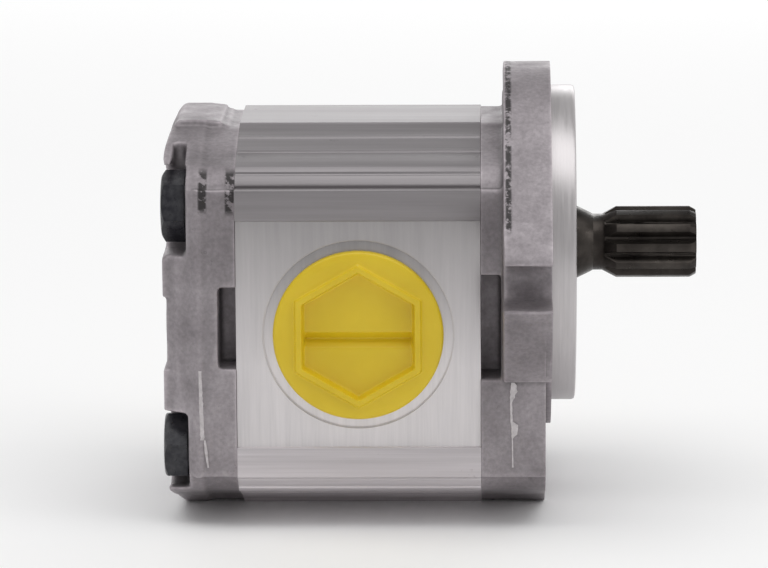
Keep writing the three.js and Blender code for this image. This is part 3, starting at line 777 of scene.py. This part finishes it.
def make_rear_cover():
    joint = JOINT_REAR_X - HAIRLINE
    cover = prism("rear_cover_casting", stack_outline(0.1), REAR_X + 0.1, -89.2)
    join(cover, prism("rear_cover_front", stack_outline(0.55), -90, joint + 4))
    top_pad = [(REAR_X, 20), (-85.0, 20), (-85.0, REAR_HIGH[2] + 0.7), (-89.0, REAR_HIGH[2] + 1.2),
               (REAR_X, REAR_HIGH[2] + 1.2)]
    join(cover, prism("top_pad", top_pad, -15.4, 15.4, "Y"))
    for envelope in rear_envelopes():
        keep_inside(cover, envelope)
    cut(cover, block("joint_step", (-83.2, -FAR, REAR_HIGH[2] - 0.9), (joint + 6, FAR, FAR)))
    for low_z, high_z in ((-6.5, 3.4), (-36.0, -25.5)):
        join(cover, block("boss", (REAR_X - 0.3, -41.5, low_z), (PLATE_REAR_X + 1, 41.5, high_z)))
    for side in (-1, 1):
        low, high = sorted((side * 20, side * FAR))
        cut(cover, block("hollow", (REAR_X - 1, low, -25.5), (REAR_X + 0.7, high, -6.5)))
        low, high = sorted((side * 40.9, side * FAR))
        cut(cover, block("crease", (-97.9, low, -25.5), (-97.2, high, -6.5)))
    for index in range(4):
        cut(cover, head_pocket(*bolt_axis(index)))
    for side in (-1, 1):
        cut(cover, arch_pocket(side), side_pocket(-84.8, joint + 6, -24.4, -3.4, side, 34))
    soften(cover, VOXEL, 8)
    ripple(cover, 0.2, 9.0, 1)
    keep_inside(cover, block("joint_face", (REAR_X, -FAR, BODY_LOW[2] + 0.02), (joint, FAR, FAR)))
    for index in range(4):
        y, z = bolt_axis(index)
        cut(cover, rod("seat", BOLT_SEAT_RADIUS, BOLT_SEAT_X - 1, BOLT_SEAT_X + 0.12, y, z),
            rod("hole", BOLT_HOLE_RADIUS, BOLT_SEAT_X - 1, joint + 1, y, z))

    def paint(centre, normal):
        flat = normal.x > 0.98 and centre.x > joint - 0.1
        seat = normal.x < -0.98 and abs(centre.x - BOLT_SEAT_X - 0.12) < 0.05
        return 1 if flat or seat else 0

    finish(cover, "housing", ["rear_cover"], [CAST, TURNED], paint)


def make_flash(name, path, seed):
    """Torn flash along a mould's parting line: path is (x, z, half width) down the inlet side."""
    fine = []
    for start, end in zip(path, path[1:]):
        steps = max(2, int(abs(end[1] - start[1]) / 0.7))
        fine += [[a + (b - a) * i / steps for a, b in zip(start, end)] for i in range(steps)]
    fine.append(path[-1])
    left, right = [], []
    for x, z, half in fine:
        left.append((x - half * (1 + 0.6 * noise.noise(Vector((seed, z * 1.3, 0)))), z))
        right.append((x + half * (1 + 0.6 * noise.noise(Vector((seed + 5, z * 1.3, 0)))), z))
    strip = prism(name, left + right[::-1], -46.0, -44.6, "Y")
    keep_inside(strip, prism("section", stack_outline(0.08), -100, 0))
    finish(strip, "housing", [], [FLASH])


make_rear_cover()
make_flash("rear_cover_flash", [(-89.5, -24.8, 0.35), (-89.3, -34, 0.5), (-89.1, -42.8, 0.5)], 2)
make_flash("rear_cover_flash_end", [(-88.5, -42.8, 0.25), (-88.2, -46, 0.35), (-87.7, -50, 0.2)], 3)

# ---------------------------------------------------------------- front cover and flange


def ear_outline(side):
    lean = math.acos((FLANGE_RADIUS - EAR_RADIUS) / EAR_BOLT_Y)
    degrees = math.degrees(lean)
    points = [(0, 0), (FLANGE_RADIUS * math.cos(lean), FLANGE_RADIUS * math.sin(lean))]
    points += arc(EAR_BOLT_Y, 0, EAR_RADIUS, degrees, -degrees, 24) + [(47.5, -27.5), (40, -27.5)]
    return [(side * y, z) for y, z in points]


def slot_cutter(side, half, x0, x1):
    mouth = EAR_BOLT_Y + 20
    points = arc(EAR_BOLT_Y, 0, half, 90, 270, 32) + [(mouth, -half), (mouth, half)]
    return prism("slot", [(side * y, z) for y, z in points], x0, x1)


def make_front_cover():
    joint = JOINT_FRONT_X + HAIRLINE
    cover = prism("front_cover_casting", stack_outline(0.4), joint - 4, FLANGE_REAR_X + 1)
    lower = keep_inside(prism("lower", stack_outline(0.4), joint, LOWER_FACE_X + 1.5),
                        block("below", (-30, -60, -90), (5, 60, -14)))
    disc = lathe("disc", [
        (0, FLANGE_REAR_X + 0.5), (FLANGE_RADIUS, FLANGE_REAR_X + 0.5), (FLANGE_RADIUS, -11.2),
        (FLANGE_RADIUS - 0.5, -10.9), (FLANGE_RADIUS - 0.1, -10.5), (FLANGE_RADIUS - 0.1, 1.5),
        (0, 1.5),
    ], sides=160)
    join(cover, lower, disc)
    for side in (-1, 1):
        join(cover, prism("ear", ear_outline(side), FLANGE_REAR_X + 0.3, 1.5))
    for side in (-1, 1):
        cut(cover, slot_cutter(side, SLOT_HALF, -20, 5),
            side_pocket(joint - 6, FLANGE_REAR_X - 0.2, -27.1, -0.1, side, 33))
    soften(cover, VOXEL, 4)
    ripple(cover, 0.16, 9.0, 2)
    lowest, highest = BODY_LOW[2] + 0.02, FLANGE_RADIUS - 0.02
    keep_inside(cover, block("machining", (joint, -80, lowest), (0, 80, highest)))
    lip = LOWER_FACE_X
    below = block("raw_face", (lip, -80, -90), (5, 80, -12))
    disc_room = rod("disc_room", FLANGE_RADIUS, lip - 1, 6, 0, 0, 160)
    cut(below, disc_room)
    for side in (-1, 1):
        cut(below, prism("ear_room", ear_outline(side), lip - 1, 6))
    cut(cover, below)
    pilot = lathe("pilot", [
        (0, -2), (PILOT_RADIUS, -2), (PILOT_RADIUS, PILOT_FRONT_X - 0.9),
        (PILOT_RADIUS - 0.25, PILOT_FRONT_X - 0.25),
        (PILOT_RADIUS - 0.9, PILOT_FRONT_X), (0, PILOT_FRONT_X),
    ], sides=192)
    join(cover, pilot)
    bore = SEAL_BORE_RADIUS
    cut(cover, lathe("seal_bore", [
        (0, joint - 1), (SHAFT_HOLE_RADIUS, joint - 1), (SHAFT_HOLE_RADIUS, SEAL_BORE_END_X),
        (bore, SEAL_BORE_END_X), (bore, RING_GROOVE[0]), (RING_GROOVE_RADIUS, RING_GROOVE[0]),
        (RING_GROOVE_RADIUS, RING_GROOVE[1]), (bore, RING_GROOVE[1]), (bore, PILOT_FRONT_X - 1.0),
        (bore + 1.4, PILOT_FRONT_X + 0.4), (0, PILOT_FRONT_X + 0.4),
    ], sides=128))

    def paint(centre, normal):
        radial = math.hypot(centre.y, centre.z)
        if centre.x > 0.02 or radial < bore + 1.2 and centre.x > SEAL_BORE_END_X - 0.5:
            return 1
        if normal.x > 0.98 and centre.x > -0.05:
            return 1
        return 1 if normal.x < -0.98 and centre.x < joint + 0.05 else 0

    finish(cover, "housing", ["front_cover"], [CAST, TURNED], paint)


make_front_cover()
make_flash("front_cover_flash", [
    (-9.9, -27.9, 0.5), (-9.7, -29.5, 0.9), (-10.1, -31.8, 0.6), (-10.4, -33, 0.25),
    (-10.3, -38, 0.3), (-9.5, -39.0, 0.9), (-9.6, -41.4, 0.7), (-10.1, -42.4, 0.15),
    (-10.0, -50.0, 0.2),
], 7)

# ---------------------------------------------------------------- shaft


def gully(index):
    """One gully between two spline teeth, running out over the neck."""
    turn = 2 * math.pi * (index + 0.5) / SPLINE_TEETH
    section = [(SPLINE_ROOT, -0.45), (SPLINE_ROOT + 0.8, -1.0), (SPLINE_RADIUS + 0.6, -2.15),
               (SPLINE_RADIUS + 0.6, 2.15), (SPLINE_ROOT + 0.8, 1.0), (SPLINE_ROOT, 0.45)]
    points = [(-(r * math.cos(turn) - a * math.sin(turn)), r * math.sin(turn) + a * math.cos(turn))
              for r, a in section]
    return prism("gully", points, PILOT_FRONT_X + 5.5, SHAFT_END_X + 2)


SHAFT_SPLIT_X = -19.0


def make_shaft():
    """The outer end is remade smooth; the gear and rear journal keep the CAD solid's shape."""
    shaft = lathe("drive_shaft", [
        (0, SHAFT_SPLIT_X), (JOURNAL_RADIUS, SHAFT_SPLIT_X), (JOURNAL_RADIUS, PILOT_FRONT_X + 0.1),
        (NECK_RADIUS + 0.5, PILOT_FRONT_X + 4.0), (NECK_RADIUS, PILOT_FRONT_X + 4.9),
        (NECK_RADIUS, 13.6),
        (NECK_RADIUS + 0.3, 14.2), (SPLINE_RADIUS, 17.3), (SPLINE_RADIUS, SHAFT_END_X - 1.7),
        (SPLINE_RADIUS - 0.25, SHAFT_END_X - 1.2), (SPLINE_RADIUS - 1.0, SHAFT_END_X),
        (3.2, SHAFT_END_X), (0, SHAFT_END_X - 3.0),
    ], sides=176)
    for index in range(SPLINE_TEETH):
        cut(shaft, gully(index))
    bevel(shaft, 0.12, 2, 28)
    wheel = new_object("drive_gear_wheel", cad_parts["drive_gear"].data.copy())
    keep_inside(wheel, block("split", (-120, -30, -30), (SHAFT_SPLIT_X - HAIRLINE, 30, 30)))
    finish(shaft, "drive_shaft", ["drive_gear"], [SHAFT])
    finish(wheel, "drive_shaft", [], [SHAFT])


make_shaft()

# ---------------------------------------------------------------- bolts


def make_bolt(index):
    y, z = bolt_axis(index)
    turn = 15 + 17 * index
    corner = HEAD_FLATS / math.sqrt(3)
    hexagon_corners = arc(y, z, corner, turn, turn + 300, 5)
    head = prism(f"bolt_head_{index + 1}", hexagon_corners, HEAD_TOP_X, BOLT_SEAT_X - 0.5)
    keep_inside(head, lathe("chamfer", [
        (0, HEAD_TOP_X), (HEAD_FLATS / 2 - 0.35, HEAD_TOP_X),
        (HEAD_FLATS / 2 + 0.2, HEAD_TOP_X + 0.3),
        (corner + 0.1, HEAD_TOP_X + 1.0), (corner + 0.1, BOLT_SEAT_X), (0, BOLT_SEAT_X),
    ], (y, z)))
    collar = HEAD_FLATS / 2 - 0.3
    shank = lathe("shank", [
        (0, BOLT_SEAT_X - 1), (collar, BOLT_SEAT_X - 1), (collar, BOLT_SEAT_X),
        (BOLT_RADIUS, BOLT_SEAT_X), (BOLT_RADIUS, BOLT_END_X - 1), (4.0, BOLT_END_X),
        (0, BOLT_END_X),
    ], (y, z))
    join(head, shank)
    bevel(head, 0.25, 3, 35)
    finish(head, "housing", [f"cover_bolt_{index + 1}"], [BLACK])


for bolt_index in range(4):
    make_bolt(bolt_index)

# ---------------------------------------------------------------- shipping plugs

PLUGS = {
    "inlet": {
        "side": -1, "flange": 21.7, "flats": 29.0, "floor": 27.6, "shank": 15.3,
        "face": -INLET_LOW[1],
    },
    "outlet": {
        "side": 1, "flange": 17.8, "flats": 23.6, "floor": 22.4, "shank": 12.1,
        "face": OUTLET_HIGH[1],
    },
}
PLUG_SEAT = 44.75
PLUG_END = 29.4
PLUG_VOXEL = 0.28


def hexagon(flats, x, z):
    """(x, z) corners, two of them up and down."""
    return [(x + dx, z + dz) for dx, dz in arc(0, 0, flats / math.sqrt(3), 30, 330, 5)]


def hex_block(name, flats_in, flats_out, y_in, y_out):
    """Six-sided block along Y whose width changes from y_in to y_out."""
    bm = bmesh.new()
    near = [bm.verts.new((x, y_in, z)) for x, z in hexagon(flats_in, PORT_X, MID_Z)]
    far = [bm.verts.new((x, y_out, z)) for x, z in hexagon(flats_out, PORT_X, MID_Z)]
    bm.faces.new(near)
    bm.faces.new(far[::-1])
    for i in range(6):
        j = (i + 1) % 6
        bm.faces.new([near[i], far[i], far[j], near[j]])
    return from_bmesh(name, bm)


def make_plug(label, spec):
    side, face, shank, flange = (spec[key] for key in ("side", "face", "shank", "flange"))
    plate = face - 1.2
    blank = lathe(f"{label}_shipping_plug", [(r, side * y) for r, y in [
        (0, PLUG_END + 2), (shank - 2.6, PLUG_END + 2), (shank - 2.6, PLUG_END),
        (shank - 1.2, PLUG_END), (shank, PLUG_END + 1.2), (shank, PLUG_SEAT),
        (flange, PLUG_SEAT), (flange, plate - 0.6), (flange - 0.5, plate),
        (flange * 0.9, plate + 0.15), (0, plate + 0.25),
    ]], (PORT_X, MID_Z), "Y")
    mouth = spec["flats"]
    join(blank, hex_block("rim", mouth + 3.8, mouth + 2.6, side * (plate - 1), side * face))
    floor = face - 3.0
    cut(blank, hex_block("recess", spec["floor"], mouth, side * floor, side * (face + 1)))
    half = 2.3
    middle = MID_Z - 1.3
    reach = spec["floor"] / 2 - 0.1
    section = [
        (side * (floor + 0.3), middle + half), (side * (floor - 2.2), middle + 0.2),
        (side * (floor - 2.2), middle - 0.1), (side * (floor + 0.3), middle - half),
    ]
    cut(blank, prism("slot", section, PORT_X - reach, PORT_X + reach))
    soften(blank, PLUG_VOXEL, 3)
    finish(blank, f"{label}_plug", [f"{label}_plug"], [YELLOW])


for plug_label, plug_spec in PLUGS.items():
    make_plug(plug_label, plug_spec)

# ---------------------------------------------------------------- carried-over CAD nodes

NODE_LOOKS = [
    ("bush", BRONZE), ("backup", PTFE), ("spring", STEEL), ("dowel", STEEL), ("spacer", STEEL),
    ("retaining_ring", BLACK), ("bearing_block", EXTRUDED), ("driven_gear", SHAFT),
    ("seal", RUBBER),
]
for node_name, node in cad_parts.items():
    look = next((mat for key, mat in NODE_LOOKS if key in node_name), None)
    if look:
        for node_slot in node.material_slots:
            node_slot.material = look
